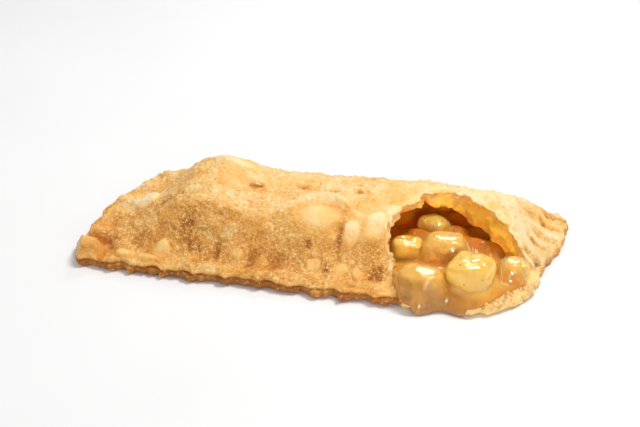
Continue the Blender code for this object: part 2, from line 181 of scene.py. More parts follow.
def domes(x, y, z, pitch, seed, share=0.6):
    # Round bubbles: in each lattice cell, by chance, one ball; the height is the ball's quarter circle
    cells = [np.floor(np.asarray(place, float) / pitch).astype(np.int64) for place in (x, y, z)]
    height = np.zeros(np.broadcast(x, y, z).shape)
    for step in np.ndindex(3, 3, 3):
        near = [cell + side - 1 for cell, side in zip(cells, step)]
        jitter = [0.5 + 0.3 * latticeValue(*near, seed + 11 * axis) for axis in range(3)]
        away = [place / pitch - cell - shift for place, cell, shift in zip((x, y, z), near, jitter)]
        radius = 0.42 + 0.16 * latticeValue(*near, seed + 5)
        there = latticeValue(*near, seed + 7) < 2.0 * share - 1.0
        ball = np.sqrt(np.clip(1.0 - sum(part ** 2 for part in away) / radius ** 2, 0.0, 1.0))
        height = np.maximum(height, there * radius * ball)
    return height * pitch


# Meshes

def gridFaces(index):  # quads between neighbouring entries of a table of vertex numbers
    corners = index[:-1, :-1], index[:-1, 1:], index[1:, 1:], index[1:, :-1]
    return np.stack(corners, axis=-1).reshape(-1, 4)


def addObject(name, data):
    made = bpy.data.objects.new(name, data)
    bpy.context.scene.collection.objects.link(made)
    return made


def facing(direction):  # the turn of a lamp or camera whose back points this way
    return direction.to_track_quat("Z", "Y").to_euler()


def makePiece(name, points, faces, finishes=()):
    # points is an array of places in millimetres, faces a list of tables of vertex numbers
    mesh = bpy.data.meshes.new(name)
    corners = [face for part in faces for face in part.tolist()]
    mesh.from_pydata((np.asarray(points) * mm).tolist(), [], corners)
    for finish in finishes:
        mesh.materials.append(finish)
    mesh.shade_smooth()
    return addObject(name, mesh)


def readPoints(mesh):
    flat = np.empty(len(mesh.vertices) * 3)
    mesh.vertices.foreach_get("co", flat)
    return flat.reshape(-1, 3) / mm


def addValues(mesh, name, values):
    layer = mesh.attributes.new(name, "FLOAT", "POINT")
    layer.data.foreach_set("value", np.broadcast_to(values, len(mesh.vertices)).astype(np.float32))


def turned(points, angle):  # about the vertical
    x, y, z = np.moveaxis(points, -1, 0)
    along, across = np.cos(angle), np.sin(angle)
    return np.stack((x * along - y * across, x * across + y * along, z), axis=-1)


def gridNormals(points):  # the cross product of the steps along both directions of a grid
    across = np.cross(np.gradient(points, axis=1), np.gradient(points, axis=0))
    return across / np.maximum(np.linalg.norm(across, axis=-1, keepdims=True), 1e-9)


def edgeSteps(length, rounding, rows, pitch):
    # Distances from 0 to length: equal turns round the edge at both ends, and a pitch apart between
    bend = rounding * (1.0 - np.cos(np.linspace(0.0, 0.5 * np.pi, rows)))
    between = np.linspace(rounding, length - rounding, max(2, round((length - 2.0 * rounding) / pitch)))
    return np.concatenate((bend[:-1], between, length - bend[-2::-1]))


def ballGrid(rings, segments):
    # Unit ball of rings and segments with one vertex at each pole: directions and faces
    polar = np.linspace(0.0, np.pi, rings + 2)[1:-1, None]
    turn = np.linspace(0.0, 2.0 * np.pi, segments, endpoint=False)[None, :]
    body = (np.sin(polar) * np.cos(turn), np.sin(polar) * np.sin(turn), np.cos(polar))
    body = np.stack(np.broadcast_arrays(*body), axis=-1)
    points = np.concatenate((body.reshape(-1, 3), ((0.0, 0.0, 1.0), (0.0, 0.0, -1.0))))
    index = np.arange(rings * segments).reshape(rings, segments)
    index = np.concatenate((index, index[:, :1]), axis=1)
    top = np.full(segments, rings * segments)
    upper = np.stack((index[0, :-1], index[0, 1:], top), axis=-1)
    lower = np.stack((index[-1, 1:], index[-1, :-1], top + 1), axis=-1)
    return points, [gridFaces(index)[:, ::-1], upper, lower]


# Crust shape, the same forms as the solid's

def cornerInset(overrun, radius):
    overrun = np.clip(overrun, 0.0, radius)
    return radius - np.sqrt(radius * radius - overrun * overrun)


def edgeDistance(a, b):  # distance inwards from the rounded rectangle
    near = np.where(a < 0.0, plan["nearLeft"], plan["nearRight"])
    far = np.where(a < 0.0, plan["farLeft"], plan["farRight"])
    radius = np.where(b < 0.0, near, far)
    left, right, front, back = [plan[side] for side in ("left", "right", "front", "far")]
    qx = np.abs(a - 0.5 * (left + right)) - 0.5 * (right - left) + radius
    qy = np.abs(b - 0.5 * (front + back)) - 0.5 * (back - front) + radius
    outside = np.hypot(np.maximum(qx, 0.0), np.maximum(qy, 0.0))
    return radius - np.minimum(np.maximum(qx, qy), 0.0) - outside


def slant(a, b):  # neither long side runs quite along X
    farShare = (b - plan["front"]) / (plan["far"] - plan["front"])
    return (1.0 - farShare) * plan["frontSlant"] * a + farShare * plan["farSlant"] * (a - plan["right"])


def lean(a, b):  # moves the plain rectangle to the pastry's own uneven outline
    frontShare = fallStep(plan["front"], plan["front"] + 9.0, b)
    leftShare = fallStep(plan["left"], plan["left"] + 30.0, a)
    rightShare = smoothStep(plan["right"] - 30.0, plan["right"], a)
    x = a + leftShare * plan["leftLean"] * smoothStep(2.0, 20.0, b)
    x = x - rightShare * plan["rightLean"] * fallStep(-4.0, 20.0, b)
    x = x + 0.9 * leftShare * waves(b + 4.0, crust["leftCrimp"][0])
    x = x + 0.35 * rightShare * waves(b, crust["rightCrimp"][0])
    scallops = sum(depth * waves(a - 1.0, pitch) for pitch, depth in crust["scallops"])
    return x, b + frontShare * scallops + slant(a, b)


def unlean(x, y):  # the opposite of lean, found by stepping back until it fits
    a, b = x, y
    for _ in range(8):
        leanedX, leanedY = lean(a, b)
        a, b = a + x - leanedX, b + y - leanedY
    return a, b


def pouch(a, b):  # how far the crust is raised, from 0 on the sealed rim to 1 on the crest
    fromFront = b - plan["front"]
    slope = smoothStep(crust["frontRim"], crust["frontRim"] + crust["frontSlope"], fromFront)
    plateau = smoothStep(crust["frontRim"] + 10.0, crust["plateauReach"], fromFront)
    front = crust["slopeShare"] * slope + (1.0 - crust["slopeShare"]) * plateau
    left = smoothStep(crust["leftRim"], crust["leftRim"] + crust["leftSlope"], a - plan["left"])
    right = smoothStep(0.0, crust["rightSlope"], plan["right"] - a)
    inset = edgeDistance(a, b)
    inland = inset + crust["foldWidth"] * fallStep(0.0, 12.0, b)
    fall = 1.0 - np.clip(np.minimum(plan["far"] - b, inland) / crust["foldWidth"], 0.0, 1.0)
    return front * left * right * (1.0 - fall ** 2) * np.clip(inset / crust["rimRound"], 0.0, 1.0)


def foldShare(a, b):
    along = smoothStep(4.0, 22.0, a - plan["left"]) * smoothStep(2.0, 16.0, plan["right"] - a)
    return along * smoothStep(plan["far"] - 14.0, plan["far"] - 4.0, b)


def plainTop(a, b):
    fold = foldShare(a, b)
    edge = blend(crust["rimEdge"], crust["foldEdge"], fold)
    rim = blend(crust["rimHeight"], crust["foldEdge"] + 0.6, fold)
    swells = sum(height * bell(a - place, width) for place, width, height in crust["swells"])
    rounded = roundRise(edgeDistance(a, b) / crust["rimRound"])
    return blend(edge, rim, rounded) + (crust["crest"] + swells - rim) * pouch(a, b)


def crimps(a, b):  # grooves pressed into both sealed ends, and the dimples of the front seam
    pitch, depth = crust["leftCrimp"]
    left = depth * waves(b + 4.0, pitch) * fallStep(6.0, 13.0, a - plan["left"])
    pitch, depth = crust["rightCrimp"]
    right = 0.5 * depth * waves(b, pitch) * fallStep(9.0, 15.0, plan["right"] - a)
    pitch, depth, place = crust["seam"]
    strength = 0.45 + 0.55 * noise(a, 0.0, 0.0, 12.0, 8)  # uneven, as pressed by hand
    seam = depth * strength * waves(a + 2.0 * noise(a, b, 0.0, 9.0, 9), pitch)
    seam = seam * bell(b - plan["front"] - place, 3.0)
    seam = seam * smoothStep(plan["left"] + 14.0, plan["left"] + 20.0, a)
    return (left + right + seam) * smoothStep(0.0, 2.0, edgeDistance(a, b))


def strokeDistance(x, y, line):  # distance to the nearest of a line's straight stretches
    nearest = np.full(np.shape(x), 99.0)
    for (x0, y0), (x1, y1) in zip(line[:-1], line[1:]):
        dx, dy = x1 - x0, y1 - y0
        share = np.clip(((x - x0) * dx + (y - y0) * dy) / (dx * dx + dy * dy), 0.0, 1.0)
        nearest = np.minimum(nearest, np.hypot(x - x0 - share * dx, y - y0 - share * dy))
    return nearest


def markHeights(x, y):
    # Pads with steep uneven sides, round dents, raised ridges and fork strokes, summed
    warp = 1.0 + 0.22 * noise(x, y, 0.0, 2.6, 12)
    total = 0.0
    for *oval, height in marks["pads"]:
        total = total + height * fallStep(0.45, 1.1, warp * ovalReach(x, y, *oval))
    for *oval, depth in marks["dents"]:
        total = total - depth * bell(warp * ovalReach(x, y, *oval), 1.0)
    for line, width, height in marks["ridges"]:
        total = total + height * bell(strokeDistance(x, y, line) * warp, width)
    for line in marks["forks"]:
        stroke = bell(strokeDistance(x, y, line) * warp, marks["forkWidth"])
        total = total - marks["forkDepth"] * stroke
    return total


def cornerNub(a, b):  # the raised near left corner and the crease beside it
    size, height, creaseDepth = crust["nub"]
    along, across = a - plan["left"], b - plan["front"]
    low, high = size - 2.0, size + 1.5
    nub = fallStep(low, high, along) * fallStep(low, high, across)
    crease = bell(along - size - 2.5, 1.8) * fallStep(low, size + 4.0, across)
    crease = crease + bell(across - size - 2.5, 1.6) * fallStep(low, size + 4.0, along)
    return smoothStep(0.0, 2.5, edgeDistance(a, b)) * (height * nub - creaseDepth * crease)


def blisterHeights(x, y):  # each blister's own height, and how far a place is inside any of them
    total = 0.0
    inside = 0.0
    for *oval, height in crust["blisters"]:
        share = fallStep(0.25, 1.15, ovalReach(x, y, *oval))
        total = total + height * share
        inside = np.maximum(inside, share * min(height, 1.0))
    return total, inside


def smoothShare(x, y):  # 1 on smooth oily blisters, pads and patches, and 0 on gritty crust
    share = blisterHeights(x, y)[1]
    for *oval, height in marks["pads"]:
        pad = fallStep(0.7, 1.2, ovalReach(x, y, *oval))
        share = np.maximum(share, pad * min(height, 1.0))
    nub = fallStep(-63.5, -61.0, x) * fallStep(-22.5, -20.0, y)
    patches = smoothStep(0.2, 0.6, noise(x, y, 0.0, 7.5, 17))
    return np.maximum(np.maximum(share, 0.75 * nub), 0.55 * patches)


def crustRelief(x, y, z, smooth):
    # Broad waves, bubbles of two sizes, pits and fine grit, summed; all but the waves fade where smooth
    lumps = 0.45 * noise(x, y, z, 7.0, 3) + 0.36 * noise(x, y, z, 3.4, 4)
    bubbles = 0.30 * domes(x, y, z, 3.1, 21, 0.45) + 0.60 * domes(x, y, z, 1.6, 31, 0.6)
    grit = 0.26 * noise(x, y, z, 1.0, 5)
    pits = -0.6 * domes(x, y, z, 2.1, 41, 0.2)
    return lumps + (1.0 - 0.85 * smooth) * (bubbles + grit + pits) - 0.3


def rimLevel(x, y):  # the height of the groove between the rim's two layers
    return 2.9 + 0.35 * noise(x, y, 0.0, 8.0, 13)


def rimRelief(x, y, z):
    # Below a groove the rim's lower layer stands out in beads, except along the fold and at the bite
    level = rimLevel(x, y)
    beads = 1.1 * domes(x, y, 0.7 * z, 3.6, 14, 0.62) + 0.6 * domes(x, y, z, 1.9, 15, 0.6) - 0.4
    lower = fallStep(level - 0.5, level - 0.1, z)
    layered = fallStep(8.0, 20.0, y) * fallStep(46.0, 54.0, x)
    layered = layered * smoothStep(-73.0, -68.0, x)
    porous = smoothStep(46.0, 54.0, x) * fallStep(-12.0, -4.0, y)
    sponge = 0.7 * domes(x, y, z, 2.0, 16, 0.6) - 0.7 * domes(x, y, z, 2.4, 18, 0.4)
    return (0.95 * beads * lower - 0.75 * bell(z - level, 0.36)) * layered + sponge * porous


def crustSheet():
    # The top: a grid over the plan, raised by the height functions, then pushed out by the relief
    columns = edgeSteps(plan["right"] - plan["left"], crust["rimRound"], 6, crust["sheetPitch"])
    columns = plan["left"] + columns
    depth = plan["far"] - plan["front"]
    rows = edgeSteps(depth, crust["rimRound"], crust["rimRows"], crust["sheetPitch"]) / depth
    a, share = np.meshgrid(columns, rows)
    pastLeft, pastRight = plan["left"] - a, a - plan["right"]
    low = plan["front"] + cornerInset(pastLeft + plan["nearLeft"], plan["nearLeft"])
    low = low + cornerInset(pastRight + plan["nearRight"], plan["nearRight"])
    high = plan["far"] - cornerInset(pastLeft + plan["farLeft"], plan["farLeft"])
    high = high - cornerInset(pastRight + plan["farRight"], plan["farRight"])
    b = blend(low, high, share)
    x, y = lean(a, b)
    inset = edgeDistance(a, b)
    z = plainTop(a, b) + crimps(a, b) + cornerNub(a, b) + blisterHeights(x, y)[0]
    z = z + markHeights(x, y) * smoothStep(0.0, 2.5, inset)
    points = np.stack((x, y, z), axis=-1)
    relief = crustRelief(x, y, z, smoothShare(x, y)) * (0.35 + 0.65 * smoothStep(0.0, 1.5, inset))
    relief = relief + (rimRelief(x, y, z) - 0.25) * fallStep(1.6, 2.6, inset)
    points = points + relief[..., None] * gridNormals(points)
    points[..., 2] = np.maximum(points[..., 2], 0.9)
    return points


def makeCrustBody():
    # The top sheet, closed below by rings that run inwards from its outline and a flat underside
    sheet = crustSheet()
    rows, columns = sheet.shape[:2]
    index = np.arange(rows * columns).reshape(rows, columns)
    loop = np.concatenate((index[0, :-1], index[:-1, -1], index[-1, :0:-1], index[:0:-1, 0]))
    outline = sheet.reshape(-1, 3)[loop]
    inner = np.stack((np.clip(outline[:, 0], -45.0, 45.0), np.clip(outline[:, 1], -5.0, 8.0)), axis=-1)
    inward = inner - outline[:, :2]
    inward = inward / np.linalg.norm(inward, axis=-1, keepdims=True)
    points = [sheet.reshape(-1, 3)]
    faces = [gridFaces(index)]
    ring = loop
    for distance in crust["underRings"]:
        height = outline[:, 2] * (1.0 - roundRise(distance / crust["rimRound"]))
        points.append(np.column_stack((outline[:, :2] + inward * distance, height)))
        following = rows * columns + (len(points) - 2) * len(loop) + np.arange(len(loop))
        faces.append(np.stack((ring, following, np.roll(following, -1), np.roll(ring, -1)), axis=-1))
        ring = following
    faces.append(ring[None, ::-1])
    return makePiece("crust_baked", np.concatenate(points), faces)


def hollowShare(a, b):
    along = np.minimum(a - hollow["left"], hollow["right"] - a)
    across = np.minimum(b - hollow["front"], hollow["far"] - b)
    return roundRise(np.minimum(along, across) / hollow["round"])


def hollowHeight(a, b):
    thin, middle, thick = hollow["wall"]  # the wall thickens towards the right of the bite
    wall = blend(thin, middle, smoothStep(28.0, 36.0, a))
    wall = wall + (thick - middle) * smoothStep(39.0, 47.0, a)
    top = plainTop(a, b)
    full = np.maximum(top - wall, hollow["lowest"])
    roof = blend(hollow["edge"], full, hollowShare(a, b))
    roof = np.minimum(roof, top - hollow["skin"])  # never through the skin at a corner
    return np.maximum(roof, hollow["floor"] + 0.3)


def pillowFaces(rows, columns):
    # Vertex numbers of two sheets that share their outline, and the faces of both
    top = np.arange(rows * columns).reshape(rows, columns)
    base = top.copy()
    within = np.arange((rows - 2) * (columns - 2)).reshape(rows - 2, columns - 2)
    base[1:-1, 1:-1] = rows * columns + within
    return [gridFaces(top), gridFaces(base)[:, ::-1]]


def makePillow(name, top, base, finishes=()):
    points = np.concatenate((top.reshape(-1, 3), base[1:-1, 1:-1].reshape(-1, 3)))
    return makePiece(name, points, pillowFaces(*top.shape[:2]), finishes)


def makeHollow():
    # Two sheets over a rectangle: the roof follows the crust a wall's thickness down, the floor is flat
    fine = np.linspace(14.0, hollow["right"], round((hollow["right"] - 14.0) / hollow["pitch"]))
    columns = np.concatenate((np.linspace(hollow["left"], 12.0, 26), fine))
    rows = round((hollow["far"] - hollow["front"]) / hollow["pitch"])
    a, b = np.meshgrid(columns, np.linspace(hollow["front"], hollow["far"], rows))
    y = b + slant(a, b)
    share = hollowShare(a, b)
    rough = 0.35 * roughNoise(a, y, 0.0, 3.0, 51) * np.clip(share, 0.0, 1.0)
    roof = np.stack((a, y, hollowHeight(a, b) + rough), axis=-1)
    low = np.minimum(roof[..., 2], hollow["edge"]) - hollow["floor"]
    floor = np.stack((a, y, hollow["floor"] + low * (1.0 - share)), axis=-1)
    return makePillow("hollow", roof, floor)


def lipPath():
    # The lip's points joined by straight steps and rounded off by a running mean
    corners = np.array(bite["lip"])
    travelled = np.concatenate(([0.0], np.cumsum(np.hypot(*np.diff(corners, axis=0).T))))
    along = np.linspace(0.0, travelled[-1], round(travelled[-1] / bite["pitch"]))
    mean = np.ones(11) / 11.0
    sides = []
    for side in corners.T:
        line = np.pad(np.interp(along, travelled, side), 5, mode="edge")
        sides.append(np.convolve(line, mean, mode="valid"))
    return along, sides[0], sides[1]


def biteFloor(x, y):  # torn crumb of the lower crust: broad lumps, round crumbs and pores
    crumb = 0.6 * roughNoise(x, y, 0.0, 3.2, 61) + 0.9 * domes(x, y, 0.0, 1.8, 62)
    crumb = crumb - 0.9 * domes(x, y, 0.0, 2.6, 63, 0.35)
    *oval, depth = bite["bubble"]
    crumb = crumb - depth * bell(ovalReach(x, y, *oval), 0.8)
    (left, right), front = bite["notch"]
    through = smoothStep(left, left + 1.6, x) * fallStep(right - 1.6, right, x)
    through = through * fallStep(front - 1.6, front, y)
    return bite["floor"] + crumb - 8.0 * through


def makeBite():
    # A profile carried along the lip: in along the top, down the torn wall, and out along the floor
    along, lipX, lipY = lipPath()
    headX, headY = np.gradient(lipX), np.gradient(lipY)
    size = np.hypot(headX, headY)
    outX, outY = -headY / size, headX / size
    fade = smoothStep(0.0, 4.0, along) * fallStep(along[-1] - 4.0, along[-1], along)
    a, b = unlean(lipX, lipY)
    skin = plainTop(a, b) + blisterHeights(lipX, lipY)[0] + 0.4
    heights = np.linspace(bite["above"], bite["floor"], 64)[:, None] + 0.0 * along[None, :]
    depth = skin[None, :] - heights
    run = along[None, :] + 0.0 * depth
    sloped = fallStep(*bite["slope"], run)
    folded = smoothStep(*bite["fold"], run)
    ragged = bite["ragged"] * (noise(run, 0.0, 0.0, 4.6, 70) + 0.6 * noise(run, 0.0, 0.0, 1.9, 71))
    ragged = ragged * (1.0 - 0.7 * folded)
    flap = 2.2 * np.clip(noise(run, 0.0, 0.0, 2.6, 73), 0.0, 1.0)  # the skin stands out in flaps
    flap = flap * fallStep(0.6, 1.1, depth) * (1.0 - sloped) * (1.0 - folded)
    hollowed = bell(depth - 2.0, 1.0) * (1.0 - sloped)  # the crumb under it draws back
    curl = 1.4 * smoothStep(2.6, 5.0, depth) * (1.0 + 0.5 * noise(run, 0.0, 0.0, 6.0, 74))
    crumbled = sloped * (0.36 * np.clip(depth, 0.0, 6.0) - 0.8)  # the left breaks off in a slope
    crumb = roughNoise(lipX, lipY, 1.4 * heights, 1.9, 72) - 0.8 * domes(lipX, lipY, heights, 1.7, 75)
    crumb = crumb * bite["crumb"] * (1.0 + 0.8 * sloped)
    offset = (ragged - flap + hollowed - curl - crumbled + crumb) * fade[None, :]
    wall = np.stack((lipX + outX * offset, lipY + outY * offset, heights), axis=-1)
    share = np.linspace(0.0, 0.93, 90)[1:, None]
    floorX, floorY = [blend(wall[-1, :, axis], bite["fan"][axis], share) for axis in range(2)]
    rising = smoothStep(0.0, 0.03, share)
    floorZ = blend(bite["floor"], biteFloor(floorX, floorY), rising)
    floor = np.stack((floorX, floorY, floorZ), axis=-1)
    cap = floor[-1:].copy()
    cap[..., 2] = bite["above"]
    profile = np.concatenate((wall, floor, cap))
    rows, columns = profile.shape[:2]
    index = np.arange(rows * columns).reshape(rows, columns)
    closed = np.concatenate((index, index[:1]))
    ends = [index[None, :, 0], index[None, ::-1, -1]]
    return makePiece("bite", profile.reshape(-1, 3), [gridFaces(closed)] + ends)


def cutAway(piece, *cutters):
    # Boolean differences, put into the piece's own mesh
    for cutter in cutters:
        step = piece.modifiers.new("cut " + cutter.name, "BOOLEAN")
        step.operation = "DIFFERENCE"
        step.solver = "MANIFOLD"
        step.object = cutter
    bpy.context.view_layer.update()
    before = len(piece.data.vertices)
    finished = piece.evaluated_get(bpy.context.evaluated_depsgraph_get())
    mesh = bpy.data.meshes.new_from_object(finished)
    piece.modifiers.clear()
    piece.data = mesh
    for cutter in cutters:
        bpy.data.objects.remove(cutter)
    print("cut", piece.name, "from", before, "to", len(mesh.vertices), "vertices")


# Finishes

def newMaterial(name):
    made = bpy.data.materials.new(name)
    made.use_nodes = True
    return made, made.node_tree, made.node_tree.nodes["Principled BSDF"]


def addNode(tree, kind, values=None, **settings):
    made = tree.nodes.new(kind)
    for key, value in settings.items():
        setattr(made, key, value)
    for key, value in (values or {}).items():
        if isinstance(value, bpy.types.NodeSocket):
            tree.links.new(value, made.inputs[key])
        else:
            made.inputs[key].default_value = value
    return made


def addMath(tree, operation, one, other, clamp=False):
    made = addNode(tree, "ShaderNodeMath", {0: one, 1: other}, operation=operation, use_clamp=clamp)
    return made.outputs[0]


def addRamp(tree, value, stops):
    made = addNode(tree, "ShaderNodeValToRGB", {"Fac": value})
    ramp = made.color_ramp
    while len(ramp.elements) < len(stops):
        ramp.elements.new(0.5)
    for element, (place, colour) in zip(ramp.elements, stops):
        element.position = place
        element.color = (*colour, 1.0)
    return made.outputs["Color"]


def addMix(tree, share, one, other):
    made = addNode(tree, "ShaderNodeMix", {"Factor": share}, data_type="RGBA")
    for key, value in ((6, one), (7, other)):  # the two colours of a mix in this mode
        if isinstance(value, bpy.types.NodeSocket):
            tree.links.new(value, made.inputs[key])
        else:
            made.inputs[key].default_value = (*value, 1.0)
    return made.outputs[2]


def addNoise(tree, place, size, detail=2.0, roughness=0.5):  # with a grain of this many millimetres
    values = {"Vector": place, "Scale": 1.0 / (size * mm), "Detail": detail, "Roughness": roughness}
    return addNode(tree, "ShaderNodeTexNoise", values).outputs["Fac"]


def addCells(tree, place, size, **settings):  # cells of this many millimetres
    values = {"Vector": place, "Scale": 1.0 / (size * mm)}
    return addNode(tree, "ShaderNodeTexVoronoi", values, **settings).outputs


def addProduct(tree, one, other, clamp=False):
    return addMath(tree, "MULTIPLY", one, other, clamp)


def readValue(tree, name):  # a value kept with each vertex
    return addNode(tree, "ShaderNodeAttribute", attribute_name=name).outputs["Fac"]


def readPlace(tree):
    return tree.nodes.new("ShaderNodeTexCoord").outputs["Object"]


def finishSurface(tree, surface, fed, fixed):  # fed sockets vary over the surface, fixed ones don't
    for socket, source in fed.items():
        tree.links.new(source, surface.inputs[socket])
    for socket, value in fixed.items():
        surface.inputs[socket].default_value = value


def grainGroup():
    # Baked grain and painted highlights: specks of two sizes, a mask of small specks painted as bright
    # glints, and their height for a bump
    group = bpy.data.node_groups.new("baked grain and painted glints", "ShaderNodeTree")
    group.interface.new_socket("Size", in_out="INPUT", socket_type="NodeSocketFloat")
    for name in ("Speck", "PaintedGlint", "Height"):
        group.interface.new_socket(name, in_out="OUTPUT", socket_type="NodeSocketFloat")
    size = group.nodes.new("NodeGroupInput").outputs["Size"]
    leave = group.nodes.new("NodeGroupOutput")
    scaling = addNode(group, "ShaderNodeVectorMath", {0: readPlace(group), 1: size}, operation="MULTIPLY")
    place = scaling.outputs[0]
    fine = addNoise(group, place, 0.6, 3.0, 0.65)
    broad = addNoise(group, place, 2.2, 2.0, 0.6)
    speck = addMath(group, "ADD", addProduct(group, fine, 0.62), addProduct(group, broad, 0.38))
    bright = addNoise(group, place, 0.9, 2.0, 0.6)
    painted_glint = addNode(group, "ShaderNodeMapRange", {"Value": bright, 1: 0.59, 2: 0.66}).outputs[0]
    pits = addProduct(group, addCells(group, place, 1.0, feature="SMOOTH_F1")["Distance"], 0.9)
    height = addMath(group, "SUBTRACT", fine, pits)
    for name, value in (("Speck", speck), ("PaintedGlint", painted_glint), ("Height", height)):
        group.links.new(value, leave.inputs[name])
    return group


crustLook = {  # the colour of painted glints, colours from pale to browned, of torn crumb and of sauce-coated crust, then the grain and how strong the painted glints are
    "painted_glint_colour": (1.0, 0.77, 0.39), "cream": (0.97, 0.75, 0.42), "golden": (0.93, 0.57, 0.19),
    "tan": (0.80, 0.37, 0.07), "brown": (0.42, 0.14, 0.018),
    "crumb": (0.97, 0.66, 0.25), "honey": (0.98, 0.45, 0.035), "caramel": (0.98, 0.29, 0.012),
    "roughness": 0.5, "contrast": 3.0, "paler": 0.13, "painted_glint": 0.85, "bump": 0.75,
    "surface": {
        "Specular IOR Level": 0.2, "Coat Weight": 0.12, "Coat Roughness": 0.16, "Subsurface Weight": 0.1,
        "Subsurface Radius": (1.0, 0.8, 0.5), "Subsurface Scale": 0.8 * mm,
    },
}


def crustMaterial(grain):
    made, tree, surface = newMaterial("baked crust")
    look = crustLook
    speckle = addNode(tree, "ShaderNodeGroup", {"Size": 1.0}, node_tree=grain).outputs
    bake_and_painted_light, torn, coated, grit = [readValue(tree, name) for name in ("bake_and_painted_light", "torn", "coated", "grit")]
    swing = addProduct(tree, addMath(tree, "SUBTRACT", speckle["Speck"], 0.5), look["contrast"])
    swing = addProduct(tree, addMath(tree, "MINIMUM", swing, look["paler"]), grit)  # fewer dark specks
    tone = addMath(tree, "ADD", bake_and_painted_light, swing, clamp=True)
    shades = zip((0.0, 0.32, 0.68, 1.0), (look["cream"], look["golden"], look["tan"], look["brown"]))
    baked = addRamp(tree, tone, tuple(shades))
    # painted highlight: small bright specks mixed into the colour as glints, weaker where the grit is low
    painted_glint = addProduct(tree, addProduct(tree, speckle["PaintedGlint"], grit), look["painted_glint"], clamp=True)
    baked = addMix(tree, painted_glint, baked, look["painted_glint_colour"])
    tornTone = addMath(tree, "ADD", torn, addProduct(tree, swing, 0.5))
    crumb = addRamp(tree, tornTone, ((0.3, look["crumb"]), (0.9, look["honey"])))
    colour = addMix(tree, addProduct(tree, torn, 4.0, clamp=True), baked, crumb)
    colour = addMix(tree, coated, colour, look["caramel"])
    wet = addProduct(tree, addMath(tree, "MAXIMUM", coated, addProduct(tree, torn, 0.7)), 0.3)
    raised = addProduct(tree, speckle["Height"], addMath(tree, "ADD", grit, 0.15))
    bump = {"Strength": look["bump"], "Distance": 0.6 * mm, "Height": raised}
    finishSurface(tree, surface, {
        "Base Color": colour,
        "Roughness": addMath(tree, "SUBTRACT", look["roughness"], wet),
        "Normal": addNode(tree, "ShaderNodeBump", bump).outputs["Normal"],
    }, look["surface"])
    return made


def biteReach(x, y):
    # How far a place lies behind the lip (below 0 inside the bite) on its ray from the fan's centre, and
    # where along the lip that ray crosses
    along, lipX, lipY = lipPath()
    centreX, centreY = bite["fan"]
    lipTurn = np.arctan2(lipY - centreY, lipX - centreX)
    lipFar = np.hypot(lipX - centreX, lipY - centreY)
    turn = np.arctan2(y - centreY, x - centreX)
    inside = (turn > lipTurn.min()) & (turn < lipTurn.max())
    reach = np.hypot(x - centreX, y - centreY) - np.interp(turn, lipTurn[::-1], lipFar[::-1])
    return np.where(inside, reach, 99.0), np.interp(turn, lipTurn[::-1], along[::-1])


browning_and_painted_light = {  # ovals on the crust: middle, half sizes, and how much browner (above 0) or paler they are
    "base": 0.30, "most": 0.64,
    # The paler ovals on the crest and the right end are partly pale crust and partly painted highlight;
    # the browner ovals along the front are partly browning and partly painted shade
    "patches": (
        (-66.0, -24.0, 12.0, 9.0, 0.14), (-55.0, -12.0, 20.0, 16.0, 0.08),
        (-30.0, -24.0, 45.0, 9.0, 0.30), (15.0, -24.0, 22.0, 9.0, 0.30), (-38.0, 9.0, 26.0, 9.0, -0.10),
        (5.0, 4.0, 40.0, 12.0, -0.10), (45.0, 14.0, 26.0, 9.0, -0.22), (65.0, 8.0, 12.0, 12.0, -0.12),
        (19.0, -9.0, 6.0, 8.0, -0.18), (-4.0, -13.0, 9.0, 5.0, 0.08), (-57.0, -9.0, 8.0, 2.4, 0.22),
        (26.0, -26.0, 5.0, 5.0, -0.10), (-57.4, -3.0, 4.6, 4.4, -0.30), (8.0, -6.0, 8.0, 6.0, 0.16),
        (-52.0, 6.0, 9.0, 13.0, 0.17), (66.0, 12.0, 6.0, 16.0, -0.08), (-26.0, -15.0, 8.0, 6.0, 0.12),
    ),
    "spots": (
        (-38.4, -18.3, 2.0, 1.8, 0.30), (-35.1, -22.0, 1.8, 1.3, 0.25), (-22.9, 0.9, 2.2, 1.5, 0.65),
        (-20.6, 1.3, 0.7, 0.6, 0.9), (-7.4, 4.2, 3.2, 1.4, 0.45), (10.5, 3.7, 1.8, 1.2, 0.6),
        (2.7, 2.8, 1.6, 0.9, 0.45), (9.6, -15.0, 0.9, 2.2, 0.1), (22.2, -20.5, 2.4, 1.8, 0.28),
        (0.6, -17.8, 0.7, 0.6, 0.8), (-5.8, -20.8, 0.7, 0.6, 0.8), (-27.6, -22.6, 0.7, 1.6, 0.3),
        (31.5, -27.9, 1.3, 1.1, 0.5), (33.0, -29.5, 3.0, 2.5, 0.4), (66.6, 27.0, 1.0, 0.8, 0.6),
        (66.0, 20.4, 1.1, 0.8, 0.7), (65.4, 14.0, 1.1, 0.8, 0.7), (64.8, 7.4, 1.1, 0.8, 0.7),
        (64.2, 1.0, 1.0, 0.8, 0.6), (60.8, 17.6, 0.9, 0.7, 0.5),
    ),
}


